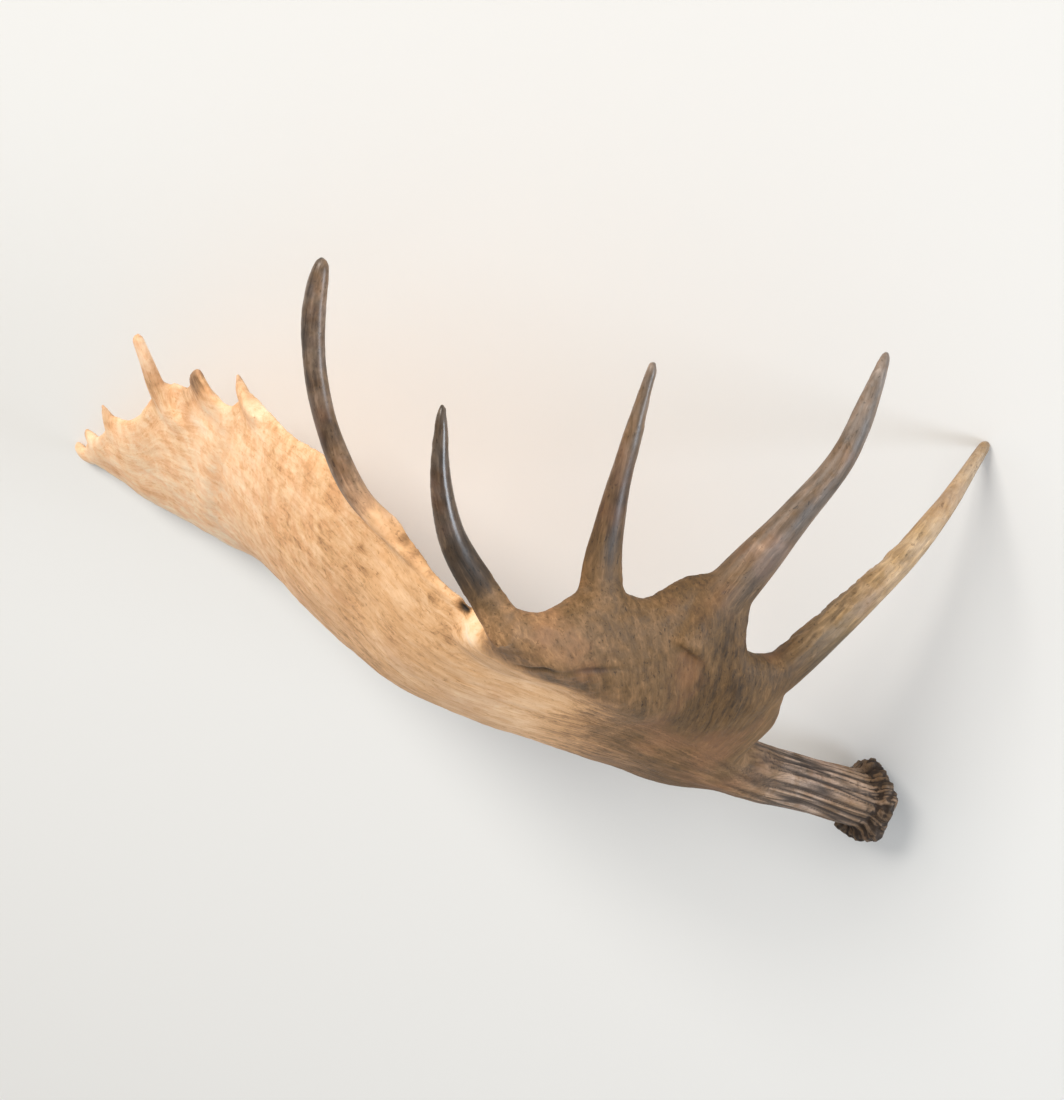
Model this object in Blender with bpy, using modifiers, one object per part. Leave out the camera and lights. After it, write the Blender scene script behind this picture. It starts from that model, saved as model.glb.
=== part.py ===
# The right antler of a bull moose, as shed: a burr and a short beam that spread into a brow palm with
# four tines and a long cupped main palm with one long tine and six short points along its rim.
#
# It is drawn as it grew, in metres, with X out from the side of the skull, Y forwards, Z up and the
# middle of the burr at 0, 0, 0. At the end it is turned over, to lie on its burr, the tip of its first
# brow tine and the tip of its palm, and it is parted at its forks by saw cuts.

import math

import bmesh
import bpy
import numpy as np
from mathutils import Euler, Matrix, Vector

# ---------------------------------------------------------------- driving dimensions, in metres
# Beam: x, y, z and radius along its middle, on into the main palm as a rib that fades out.
BEAM = [(-0.004, 0.000, 0.000, 0.0250), (0.030, 0.002, 0.003, 0.0240), (0.065, 0.006, 0.007, 0.0230),
        (0.100, 0.012, 0.010, 0.0230), (0.140, 0.022, 0.012, 0.0240), (0.180, 0.033, 0.016, 0.0250),
        (0.220, 0.033, 0.024, 0.0235), (0.260, 0.020, 0.034, 0.0200), (0.300, 0.000, 0.041, 0.0165),
        (0.345, -0.033, 0.052, 0.0125), (0.392, -0.068, 0.070, 0.0080)]

# Beam ridges: how many run along it, how high they stand, and how far along the beam they fade out.
RIDGES = 9
RIDGE_HEIGHT = 0.0016
RIDGE_TWIST = 2.5
RIDGE_END = 0.210
RIDGE_FADE = 0.060

# Burr: a collar of knobs round the root of the beam, in two rows and with every third one larger, and
# the domed scar that it shed from.
BURR_RADIUS = 0.0290
BURR_KNOBS = 15
KNOB_RADII = (0.0092, 0.0074, 0.0074)
KNOB_ROWS = (0.003, 0.005)
SCAR_RADIUS = 0.0235
SCAR_DOME = 0.0080

# Main palm: rear edge, front edge, thickness and cupping, from the beam to the tip of the palm.
MAIN_PALM = [
    ((0.165, 0.012, 0.008), (0.180, 0.052, 0.020), 0.038, 0.000),
    ((0.205, -0.020, 0.012), (0.235, 0.085, 0.030), 0.034, 0.003),
    ((0.232, -0.066, 0.030), (0.320, 0.112, 0.052), 0.028, 0.010),
    ((0.264, -0.108, 0.050), (0.400, 0.122, 0.070), 0.024, 0.018),
    ((0.300, -0.148, 0.072), (0.455, 0.110, 0.090), 0.021, 0.026),
    ((0.335, -0.195, 0.097), (0.481, 0.080, 0.120), 0.018, 0.031),
    ((0.364, -0.241, 0.128), (0.499, 0.052, 0.164), 0.016, 0.033),
    ((0.386, -0.286, 0.164), (0.522, 0.028, 0.195), 0.014, 0.031),
    ((0.402, -0.328, 0.200), (0.528, -0.020, 0.232), 0.013, 0.028),
    ((0.418, -0.364, 0.229), (0.524, -0.088, 0.262), 0.012, 0.024),
    ((0.449, -0.407, 0.257), (0.523, -0.157, 0.295), 0.011, 0.018),
    ((0.482, -0.447, 0.286), (0.532, -0.215, 0.322), 0.011, 0.012),
    ((0.515, -0.485, 0.315), (0.548, -0.300, 0.343), 0.010, 0.008),
    ((0.533, -0.506, 0.333), (0.554, -0.400, 0.344), 0.010, 0.004),
    ((0.542, -0.518, 0.343), (0.552, -0.470, 0.347), 0.009, 0.000),
]

# Brow palm: lower edge, rim, thickness and cupping, from the first tine to the fourth.
BROW_PALM = [
    ((0.186, 0.052, 0.018), (0.196, 0.112, 0.052), 0.028, 0.000),
    ((0.210, 0.060, 0.020), (0.220, 0.148, 0.078), 0.030, 0.003),
    ((0.248, 0.075, 0.025), (0.264, 0.160, 0.080), 0.028, 0.005),
    ((0.285, 0.090, 0.032), (0.290, 0.188, 0.124), 0.028, 0.006),
    ((0.325, 0.108, 0.040), (0.328, 0.178, 0.124), 0.026, 0.006),
    ((0.362, 0.124, 0.047), (0.360, 0.168, 0.106), 0.024, 0.005),
    ((0.405, 0.140, 0.051), (0.402, 0.168, 0.112), 0.024, 0.004),
    ((0.452, 0.150, 0.057), (0.450, 0.166, 0.086), 0.020, 0.002),
    ((0.486, 0.156, 0.071), (0.484, 0.165, 0.087), 0.018, 0.000),
]

# Tines: x, y, z and radius from root to tip.
TINES = {
    "brow_tine_1": [(0.245, 0.128, 0.048, 0.0180), (0.222, 0.144, 0.070, 0.0190),
                    (0.182, 0.168, 0.112, 0.0165), (0.139, 0.188, 0.157, 0.0130),
                    (0.104, 0.200, 0.200, 0.0102), (0.072, 0.203, 0.240, 0.0070),
                    (0.052, 0.202, 0.264, 0.0055)],
    "brow_tine_2": [(0.318, 0.154, 0.078, 0.0250), (0.296, 0.182, 0.120, 0.0215),
                    (0.270, 0.221, 0.168, 0.0145), (0.250, 0.252, 0.209, 0.0105),
                    (0.243, 0.274, 0.249, 0.0078), (0.237, 0.285, 0.278, 0.0045)],
    "brow_tine_3": [(0.392, 0.156, 0.080, 0.0210), (0.403, 0.171, 0.118, 0.0160),
                    (0.412, 0.198, 0.160, 0.0107), (0.417, 0.225, 0.198, 0.0075),
                    (0.420, 0.246, 0.229, 0.0052), (0.421, 0.255, 0.242, 0.0045)],
    "brow_tine_4": [(0.470, 0.159, 0.066, 0.0160), (0.493, 0.164, 0.090, 0.0148),
                    (0.526, 0.174, 0.127, 0.0100), (0.543, 0.188, 0.158, 0.0078),
                    (0.554, 0.206, 0.189, 0.0052), (0.557, 0.212, 0.200, 0.0035)],
    "palm_tine": [(0.484, 0.018, 0.150, 0.0110), (0.528, 0.034, 0.190, 0.0130),
                  (0.554, 0.040, 0.230, 0.0104), (0.574, 0.056, 0.270, 0.0096),
                  (0.586, 0.077, 0.304, 0.0094), (0.590, 0.092, 0.323, 0.0075),
                  (0.591, 0.097, 0.329, 0.0058)],
}

# Short points on the rim of the main palm, front to back: x, y, z and radius from root to tip.
RIM_POINTS = [
    [(0.519, -0.166, 0.284, 0.0140), (0.525, -0.174, 0.312, 0.0085), (0.530, -0.183, 0.336, 0.0035)],
    [(0.529, -0.230, 0.316, 0.0160), (0.540, -0.231, 0.334, 0.0135), (0.546, -0.236, 0.348, 0.0085)],
    [(0.541, -0.292, 0.318, 0.0170), (0.557, -0.293, 0.345, 0.0110), (0.572, -0.285, 0.369, 0.0080),
     (0.585, -0.279, 0.387, 0.0060)],
    [(0.551, -0.412, 0.332, 0.0130), (0.559, -0.412, 0.348, 0.0080), (0.566, -0.411, 0.363, 0.0035)],
    [(0.542, -0.476, 0.338, 0.0110), (0.549, -0.482, 0.350, 0.0075), (0.554, -0.487, 0.359, 0.0045)],
    [(0.540, -0.508, 0.338, 0.0100), (0.546, -0.521, 0.349, 0.0080), (0.549, -0.528, 0.357, 0.0050)],
]

# How thick a tine or a point is for its width, at its root and at its tip, and how its end rounds off,
# as degrees round from its last row.
ROOT_FLATNESS = 0.62
TIP_FLATNESS = 0.92
TIP_ROUNDING = (30.0, 60.0, 82.0)
# How full a palm stays towards its edges: 1 is an ellipse, less is squarer.
EDGE_FULLNESS = 0.6
# Directions that the convex faces of the two palms look in, as grown.
MAIN_FACE = (0.60, -0.17, -0.78)
BROW_FACE = (-0.10, 0.65, -0.75)

# Saw cuts at the forks: the middle of the cut, the way through it, the way along it, and half its
# length and height. The long one parts the two palms along the fold between them.
CUTS = [
    ((0.152, 0.024, 0.012), (1.00, 0.25, 0.05), (0.0, 0.0, 1.0), 0.040, 0.040),
    ((0.337, 0.107, 0.052), (-0.246, 0.713, 0.653), (0.963, 0.245, 0.095), 0.175, 0.048),
    ((0.205, 0.154, 0.088), (-0.66, 0.44, 0.61), (1.0, 0.0, 0.0), 0.034, 0.034),
    ((0.290, 0.192, 0.130), (-0.42, 0.62, 0.66), (1.0, 0.0, 0.0), 0.036, 0.036),
    ((0.402, 0.170, 0.114), (0.20, 0.42, 0.88), (1.0, 0.0, 0.0), 0.030, 0.030),
    ((0.490, 0.162, 0.083), (0.60, 0.20, 0.77), (1.0, 0.0, 0.0), 0.030, 0.030),
    ((0.542, 0.039, 0.212), (0.50, 0.06, 0.86), (0.0, 1.0, 0.0), 0.024, 0.024),
]
KERF = 0.0003

# A point in each part, as grown, by which it is told from the others.
MARKS = {
    "beam": (0.000, 0.000, 0.000),
    "main_palm": (0.402, -0.328, 0.197),
    "brow_palm": (0.330, 0.150, 0.085),
}

# Turn, in degrees, from how it grew to how it lies.
LIE_TURN = (142.357, -46.205, -13.762)

# Rows along and points around each first shape; a tine has so many rows to each one stated.
BEAM_GRID = (90, 72)
PALM_GRID = (64, 48)
TINE_GRID = (6, 20)

# Skin: size of its first fine faces, rounds of smoothing, and the share of its faces that are kept.
# Nothing is thinned within BURR_KEPT of the burr's plane, so that its knobs stay round.
VOXEL = 0.004
SMOOTHING = 6
KEPT = 0.085
BURR_KEPT = 0.013
# Edges that turn by more than this, in degrees, show as edges: the saw cuts.
SHARP_EDGE = 50.0

# Colours (linear) and roughness of each part.
FINISHES = {
    "beam": ((0.13, 0.085, 0.050), 0.70),
    "main_palm": ((0.62, 0.42, 0.25), 0.60),
    "brow_palm": ((0.27, 0.16, 0.085), 0.60),
    "tine": ((0.16, 0.12, 0.080), 0.45),
}


def through(rows, count):
    """A smooth curve through rows of numbers, whose first three are a place in space."""
    points = np.array(rows, dtype=float)
    steps = np.linalg.norm(np.diff(points[:, :3], axis=0), axis=1)
    reach = np.concatenate(([0.0], np.cumsum(steps)))
    slopes = np.gradient(points, reach, axis=0)
    wanted = np.linspace(0.0, reach[-1], count)
    span = np.clip(np.searchsorted(reach, wanted, side="right") - 1, 0, len(points) - 2)
    width = (reach[span + 1] - reach[span])[:, None]
    t = (wanted - reach[span])[:, None] / width
    start = (2 * t**3 - 3 * t**2 + 1) * points[span] + (t**3 - 2 * t**2 + t) * width * slopes[span]
    end = (3 * t**2 - 2 * t**3) * points[span + 1] + (t**3 - t**2) * width * slopes[span + 1]
    return start + end


def unit(vectors):
    return vectors / np.linalg.norm(vectors, axis=-1, keepdims=True)


def around(sides):
    return np.linspace(0.0, 2.0 * math.pi, sides, endpoint=False)


def loft(name, rings):
    """A closed solid from a stack of rings, each a closed row of points."""
    count, sides = rings.shape[:2]
    mesh = bmesh.new()
    verts = [mesh.verts.new(point) for point in rings.reshape(-1, 3)]
    for i in range(count - 1):
        for j in range(sides):
            a, b = i * sides + j, i * sides + (j + 1) % sides
            mesh.faces.new((verts[a], verts[b], verts[b + sides], verts[a + sides]))
    mesh.faces.new(verts[:sides])
    mesh.faces.new(verts[-sides:])
    bmesh.ops.recalc_face_normals(mesh, faces=mesh.faces)
    return solid(name, mesh)


def solid(name, mesh):
    data = bpy.data.meshes.new(name)
    mesh.to_mesh(data)
    mesh.free()
    return bpy.data.objects.new(name, data)


def beam():
    """A tube along BEAM, whose radius ripples round it in ridges that wind slowly and fade out."""
    rows, sides = BEAM_GRID
    track = through(BEAM, rows)
    middle, radius = track[:, :3], track[:, 3:4]
    ahead = unit(np.gradient(middle, axis=0))
    side = unit(np.cross(ahead, (0.0, 0.0, 1.0)))
    over = np.cross(side, ahead)
    fade = np.clip((RIDGE_END - middle[:, :1]) / RIDGE_FADE, 0.0, 1.0)
    angle = around(sides)[None, :]
    ripple = np.cos(RIDGES * angle + RIDGE_TWIST * middle[:, :1] * 2 * math.pi)
    reach = (radius + RIDGE_HEIGHT * fade * ripple)[..., None]
    rings = middle[:, None] + reach * (np.cos(angle)[..., None] * side[:, None]
                                       + np.sin(angle)[..., None] * over[:, None])
    return loft("beam_core", rings)


def palm(name, rows):
    """A blade between its two edges: an oval across, thick in the middle, bulging to its convex face."""
    count, sides = PALM_GRID
    edges = np.array([rear + front + (thickness, cupping) for rear, front, thickness, cupping in rows])
    middles = (edges[:, :3] + edges[:, 3:6]) / 2
    smooth = through(np.hstack((middles, edges)), count)
    middle, across = smooth[:, :3], (smooth[:, 6:9] - smooth[:, 3:6]) / 2
    face = unit(np.cross(across, np.gradient(middle, axis=0)))
    angle = around(sides)
    wall = np.sign(np.sin(angle)) * np.abs(np.sin(angle)) ** EDGE_FULLNESS
    lift = smooth[:, 9:10] / 2 * wall + smooth[:, 10:11] * np.sin(angle) ** 2
    rings = middle[:, None] + np.cos(angle)[None, :, None] * across[:, None] + lift[..., None] * face[:, None]
    return loft(name, rings)


def tine(name, rows, face):
    """A tapering tube through its rows, flattened in its palm's plane at the root, with a round tip."""
    count, sides = TINE_GRID
    track = through(rows, count * len(rows))
    middle, radius = track[:, :3], track[:, 3:4]
    ahead = unit(np.gradient(middle, axis=0))
    wide = unit(np.cross(ahead, face))
    thick = np.cross(wide, ahead)
    turn = np.radians(TIP_ROUNDING)[:, None]
    middle = np.vstack((middle, middle[-1] + ahead[-1] * radius[-1] * np.sin(turn)))
    radius = np.vstack((radius, radius[-1] * np.cos(turn)))
    flatness = np.linspace(ROOT_FLATNESS, TIP_FLATNESS, len(middle))[:, None]
    last = [-1] * len(turn)
    wide = np.vstack((wide, wide[last])) * radius
    thick = np.vstack((thick, thick[last])) * radius * flatness
    angle = around(sides)[None, :, None]
    return loft(name, middle[:, None] + np.cos(angle) * wide[:, None] + np.sin(angle) * thick[:, None])


def ball(name, radius, place, squash=1.0):
    mesh = bmesh.new()
    bmesh.ops.create_icosphere(mesh, subdivisions=3, radius=radius)
    bmesh.ops.scale(mesh, vec=(squash, 1.0, 1.0), verts=mesh.verts)
    bmesh.ops.translate(mesh, vec=place, verts=mesh.verts)
    return solid(name, mesh)


def burr():
    """The scar's dome and the ring of knobs round it."""
    pieces = [ball("scar", SCAR_RADIUS, (BEAM[0][0], 0.0, 0.0), SCAR_DOME / SCAR_RADIUS)]
    for i in range(BURR_KNOBS):
        angle = 2.0 * math.pi * i / BURR_KNOBS
        place = (KNOB_ROWS[i % 2], BURR_RADIUS * math.cos(angle), BURR_RADIUS * math.sin(angle))
        pieces.append(ball("knob", KNOB_RADII[i % 3], place))
    return pieces


def all_pieces():
    pieces = [beam(), palm("main_blade", MAIN_PALM), palm("brow_blade", BROW_PALM)]
    for name, rows in TINES.items():
        pieces.append(tine(name, rows, MAIN_FACE if name == "palm_tine" else BROW_FACE))
    for rows in RIM_POINTS:
        pieces.append(tine("point", rows, MAIN_FACE))
    return pieces + burr()


def applied(obj):
    """The object's mesh with its modifiers worked in."""
    bpy.context.view_layer.update()
    graph = bpy.context.evaluated_depsgraph_get()
    return bpy.data.meshes.new_from_object(obj.evaluated_get(graph))


def grown_together(pieces):
    """One skin over all the pieces, smoothed at the forks, and thinned away from the burr."""
    joined = bmesh.new()
    for piece in pieces:
        joined.from_mesh(piece.data)
        bpy.data.objects.remove(piece)
    antler = solid("antler", joined)
    bpy.context.scene.collection.objects.link(antler)
    skin = antler.modifiers.new("skin", "REMESH")
    skin.mode = "VOXEL"
    skin.voxel_size = VOXEL
    smooth = antler.modifiers.new("smooth", "SMOOTH")
    smooth.factor = 0.5
    smooth.iterations = SMOOTHING
    antler.data = applied(antler)
    antler.modifiers.clear()
    spare = antler.vertex_groups.new(name="spare")
    spare.add([vert.index for vert in antler.data.vertices if vert.co.x > BURR_KEPT], 1.0, "REPLACE")
    thin = antler.modifiers.new("thin", "DECIMATE")
    thin.vertex_group = spare.name
    thin.vertex_group_factor = 1.0
    thin.ratio = KEPT
    antler.data = applied(antler)
    antler.modifiers.clear()
    return antler


def saw(cutters):
    """All the saw cuts as thin plates in one object, in the growing frame."""
    plates = bmesh.new()
    for place, through_it, along, half_length, half_height in CUTS:
        normal = Vector(through_it).normalized()
        upright = normal.cross(Vector(along)).normalized()
        turn = Matrix((upright.cross(normal), upright, normal)).transposed().to_4x4()
        size = Matrix.Diagonal((2.0 * half_length, 2.0 * half_height, KERF, 1.0))
        bmesh.ops.create_cube(plates, size=1.0, matrix=Matrix.Translation(place) @ turn @ size)
    blades = solid("saw_cuts", plates)
    cutters.objects.link(blades)
    blades.display_type = "WIRE"
    blades.hide_render = True
    return blades


def sawn(antler, blades):
    """The saw cuts made in the antler, which leave its parts loose from each other."""
    cut = antler.modifiers.new("forks", "BOOLEAN")
    cut.operation = "DIFFERENCE"
    cut.solver = "EXACT"
    cut.object = blades
    antler.data = applied(antler)
    antler.modifiers.clear()


def loose_parts(mesh):
    """The numbers of the vertices of each loose part of a mesh, in the order of their first vertex."""
    seen = set()
    for first in mesh.verts:
        if first.index in seen:
            continue
        part = {first}
        edge = {first}
        while edge:
            edge = {link.other_vert(vert) for vert in edge for link in vert.link_edges} - part
            part |= edge
        numbers = {vert.index for vert in part}
        seen |= numbers
        yield numbers


def lying(antler):
    """The turn and shift that lay it down: lowest point on the floor, box centred over the origin."""
    turn = Euler([math.radians(angle) for angle in LIE_TURN]).to_matrix()
    spots = np.array([turn @ vert.co for vert in antler.data.vertices])
    low, high = spots.min(axis=0), spots.max(axis=0)
    drop = Matrix.Translation((-(low[0] + high[0]) / 2, -(low[1] + high[1]) / 2, -low[2]))
    return drop @ turn.to_4x4()


def bone(name):
    """A plain bone material in the part's own colour."""
    colour, roughness = FINISHES.get(name, FINISHES["tine"])
    material = bpy.data.materials.new(name)
    material.use_nodes = True
    shader = material.node_tree.nodes["Principled BSDF"]
    shader.inputs["Base Color"].default_value = (*colour, 1.0)
    shader.inputs["Roughness"].default_value = roughness
    shader.inputs["Metallic"].default_value = 0.0
    return material


def parted(antler, lay, collection):
    """Each loose part laid down as an object of its own, named after the mark that is nearest to it."""
    marks = {name: Vector(place) for name, place in MARKS.items()}
    marks.update({name: Vector(rows[-1][:3]) for name, rows in TINES.items()})
    whole = bmesh.new()
    whole.from_mesh(antler.data)
    for numbers in loose_parts(whole):
        piece = whole.copy()
        rest = [vert for vert in piece.verts if vert.index not in numbers]
        bmesh.ops.delete(piece, geom=rest, context="VERTS")
        bmesh.ops.triangulate(piece, faces=piece.faces)
        name = min(marks, key=lambda mark: min((vert.co - marks[mark]).length for vert in piece.verts))
        bmesh.ops.transform(piece, matrix=lay, verts=piece.verts)
        part = solid(name, piece)
        part.data.materials.append(bone(name))
        part.data.shade_smooth()
        part.data.set_sharp_from_angle(angle=math.radians(SHARP_EDGE))
        collection.objects.link(part)
    whole.free()


def main():
    for left_over in list(bpy.data.objects):
        bpy.data.objects.remove(left_over)
    parts = bpy.data.collections.new("moose_antler")
    cutters = bpy.data.collections.new("cutters")
    bpy.context.scene.collection.children.link(parts)
    bpy.context.scene.collection.children.link(cutters)
    antler = grown_together(all_pieces())
    lay = lying(antler)
    blades = saw(cutters)
    sawn(antler, blades)
    parted(antler, lay, parts)
    blades.data.transform(lay)
    bpy.data.objects.remove(antler)


main()
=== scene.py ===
import math

import bmesh
import bpy
import numpy as np
from mathutils import Euler, Matrix, Vector


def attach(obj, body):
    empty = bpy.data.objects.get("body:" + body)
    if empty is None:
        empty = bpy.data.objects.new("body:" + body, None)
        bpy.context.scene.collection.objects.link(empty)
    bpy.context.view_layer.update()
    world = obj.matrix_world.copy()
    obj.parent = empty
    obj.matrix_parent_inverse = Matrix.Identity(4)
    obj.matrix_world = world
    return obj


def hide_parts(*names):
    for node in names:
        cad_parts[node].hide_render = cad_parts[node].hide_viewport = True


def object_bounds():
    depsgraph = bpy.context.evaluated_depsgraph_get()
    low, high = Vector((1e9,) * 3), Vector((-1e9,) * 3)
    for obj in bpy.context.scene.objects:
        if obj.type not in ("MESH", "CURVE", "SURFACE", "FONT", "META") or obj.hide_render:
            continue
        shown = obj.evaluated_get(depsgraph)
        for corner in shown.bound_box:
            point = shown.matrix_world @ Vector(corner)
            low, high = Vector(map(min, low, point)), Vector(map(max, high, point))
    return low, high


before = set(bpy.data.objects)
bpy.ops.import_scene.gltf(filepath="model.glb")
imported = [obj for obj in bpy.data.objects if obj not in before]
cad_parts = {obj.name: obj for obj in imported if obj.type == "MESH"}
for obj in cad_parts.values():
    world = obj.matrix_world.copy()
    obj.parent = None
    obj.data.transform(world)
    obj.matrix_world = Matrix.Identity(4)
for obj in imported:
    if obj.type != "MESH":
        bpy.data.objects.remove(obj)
cadLow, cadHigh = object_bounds()
print("frame loaded, with", len(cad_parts), "solids")


def metres(millimetres):
    return np.array(millimetres, dtype=float) / 1000.0


def unit(vectors):
    return vectors / np.linalg.norm(vectors, axis=-1, keepdims=True)


def dot(a, b):
    return np.sum(a * b, axis=-1)


def ease(start, end, value):
    # a smooth step from 0 at the start to 1 at the end; a start above the end makes it fall
    t = np.clip((value - start) / (end - start), 0.0, 1.0)
    return t * t * (3.0 - 2.0 * t)


def between(rise, fall, value):
    # up over the first span and down over the second
    return ease(*rise, value) * (1.0 - ease(*fall, value))


def squareGaps(places, others):
    # squared distances from each place to each of the others
    return dot(places, places)[:, None] - 2.0 * places @ others.T + dot(others, others)


def batches(places):
    # at most 20000 places at a time, to spare memory
    return np.array_split(places, len(places) // 20000 + 1)


def reachOf(middle):
    # length along a curve, at each of its points
    return np.concatenate(([0.0], np.cumsum(np.linalg.norm(np.diff(middle, axis=0), axis=1))))


def through(rows, count):
    # a smooth curve through rows that start with a place: a cubic on each span, with its ends' slopes
    points = np.array(rows, dtype=float)
    reach = reachOf(points[:, :3])
    slope = np.gradient(points, reach, axis=0)
    wanted = np.linspace(0.0, reach[-1], count)
    span = np.clip(np.searchsorted(reach, wanted, side="right") - 1, 0, len(points) - 2)
    width = (reach[span + 1] - reach[span])[:, None]
    t = (wanted - reach[span])[:, None] / width
    start = (2 * t**3 - 3 * t**2 + 1) * points[span] + (t**3 - 2 * t**2 + t) * width * slope[span]
    end = (3 * t**2 - 2 * t**3) * points[span + 1] + (t**3 - t**2) * width * slope[span + 1]
    return start + end


def around(sides):
    return np.linspace(0.0, 2.0 * math.pi, sides, endpoint=False)


def gridFaces(rows, sides, first=0):
    # four-sided faces from ring to ring, and one face over each end
    i, j = np.meshgrid(np.arange(rows - 1), np.arange(sides), indexing="ij")
    a, b = i * sides + j, i * sides + (j + 1) % sides
    walls = np.stack((a, b, b + sides, a + sides), axis=-1).reshape(-1, 4) + first
    ends = [list(range(first + sides - 1, first - 1, -1)),
            list(range(first + (rows - 1) * sides, first + rows * sides))]
    return walls.tolist() + ends


def tubeRings(middle, wide, thick, sides):
    # rings along the middle: middle + cos(angle) * wide + sin(angle) * thick
    angle = around(sides)[None, :, None]
    return middle[:, None] + np.cos(angle) * wide[:, None] + np.sin(angle) * thick[:, None]


# beam: x, y, z and radius in millimetres, on into the palm as a rib that fades out
beam = {
    "rows": [
        (-4, 0, 0, 25), (30, 2, 3, 24), (65, 6, 7, 23), (100, 12, 10, 23), (140, 22, 12, 24),
        (180, 33, 16, 25), (220, 33, 24, 23.5), (260, 20, 34, 20), (300, 0, 41, 16.5),
        (345, -33, 52, 12.5), (392, -68, 70, 8),
    ],
    "roundRows": 5,                # how many rows come before the palm
    "across": (0.33, 0.89, 0.27),  # the way that the palm will widen
    "steps": 200, "sides": 96,
}


def beamRings():
    track = through(metres(beam["rows"]), beam["steps"])
    ahead = unit(np.gradient(track[:, :3], axis=0))
    side = unit(np.cross(ahead, (0.0, 0.0, 1.0)))
    radius = track[:, 3:4]
    return tubeRings(track[:, :3], side * radius, np.cross(side, ahead) * radius, beam["sides"])


# palms: rear edge, front edge, thickness and cupping from the beam outwards, in millimetres, and the way
# that each one's bulging side looks
palms = {
    "main": [
        (165, 12, 8, 180, 52, 20, 38, 0), (205, -20, 12, 235, 85, 30, 34, 3),
        (232, -66, 30, 320, 112, 52, 28, 10), (264, -108, 50, 400, 122, 70, 24, 18),
        (300, -148, 72, 455, 110, 90, 21, 26), (335, -195, 97, 481, 80, 120, 18, 31),
        (364, -241, 128, 499, 52, 164, 16, 33), (386, -286, 164, 522, 28, 195, 14, 31),
        (401, -330, 199, 527, -20, 229, 13, 28), (416, -367, 228, 524, -88, 264, 12, 24),
        (428, -385, 239, 524, -136, 297, 11, 22), (436, -398, 246, 526, -168, 318, 11, 20),
        (443, -408, 253, 529, -197, 316, 11, 18), (452, -420, 261, 534, -226, 334, 11, 16),
        (463, -433, 270, 543, -262, 347, 11, 14), (477, -449, 282, 549, -302, 358, 11, 12),
        (490, -462, 293, 551, -334, 350, 11, 10), (500, -472, 302, 552, -357, 343, 10, 8),
        (514, -484, 315, 554, -387, 347, 10, 6), (524, -496, 324, 555, -412, 356, 10, 4),
        (533, -507, 333, 553, -445, 348, 10, 2), (539, -514, 339, 551, -476, 351, 9, 0),
        (542, -519, 343, 548, -500, 353, 9, 0),
    ],
    "brow": [
        (186, 52, 18, 196, 112, 52, 28, 0), (210, 60, 20, 220, 148, 78, 30, 3),
        (248, 75, 25, 264, 160, 80, 28, 5), (285, 90, 32, 290, 188, 124, 28, 6),
        (325, 108, 40, 328, 178, 124, 26, 6), (362, 124, 47, 360, 168, 106, 24, 5),
        (405, 140, 51, 402, 168, 112, 24, 4), (452, 150, 57, 450, 166, 86, 20, 2),
        (486, 156, 71, 484, 165, 87, 18, 0),
    ],
    # a thin web from the rear edge of the brow palm to the front edge of the main one
    "web": [
        (300, 60, 38, 298, 125, 40, 22, 0), (340, 66, 48, 338, 140, 45, 24, 0),
        (385, 70, 64, 388, 152, 51, 24, 0), (418, 62, 72, 422, 158, 55, 26, 0),
        (442, 58, 86, 452, 162, 62, 30, 0), (459, 66, 90, 479, 162, 72, 24, 0),
    ],
    "mainFace": (0.60, -0.17, -0.78), "browFace": (-0.10, 0.65, -0.75),
    "edgeFullness": 0.6,             # 1 is an ellipse, less is squarer
    "fork": (0.245, -0.080, 0.030),  # where the grain of the brow palm fans out from
    "evened": 20,                    # one part in this many of a palm is evened at a time
    "steps": 220, "sides": 120, "chartSteps": {"main": 260, "brow": 120},
}


def evened(rows, width):
    # each row made the mean of those around it, twice over
    for _ in range(2):
        padded = np.vstack((rows[:1].repeat(width, axis=0), rows, rows[-1:].repeat(width, axis=0)))
        total = np.cumsum(np.vstack((np.zeros(rows.shape[1]), padded)), axis=0)
        rows = (total[2 * width + 1:] - total[:-2 * width - 1]) / (2 * width + 1)
    return rows


def palmTable(rows, count):
    # edge, middle, way across, way that it bulges and sizes, at rows along a palm
    edges = metres(rows)
    track = through(np.hstack(((edges[:, :3] + edges[:, 3:6]) / 2, edges)), count)
    middle, across = track[:, :3], track[:, 6:9] - track[:, 3:6]
    ahead = unit(np.gradient(middle, axis=0))
    face = unit(evened(unit(np.cross(across, ahead)), count // palms["evened"]))
    return {"middle": middle, "rear": middle - across / 2, "across": across, "ahead": ahead, "face": face,
            "half": track[:, 9] / 2, "cupping": track[:, 10], "reach": reachOf(middle)}


def palmRings(rows):
    # middle + cos(angle) * half across + face * (half the thickness * a squarish sine + cupping * the
    # sine squared)
    table = palmTable(rows, palms["steps"])
    angle = around(palms["sides"])
    wall = np.sign(np.sin(angle)) * np.abs(np.sin(angle)) ** palms["edgeFullness"]
    lift = table["half"][:, None] * wall + table["cupping"][:, None] * np.sin(angle) ** 2
    return (table["middle"][:, None] + np.cos(angle)[None, :, None] * table["across"][:, None] / 2
            + lift[..., None] * table["face"][:, None])


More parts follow.
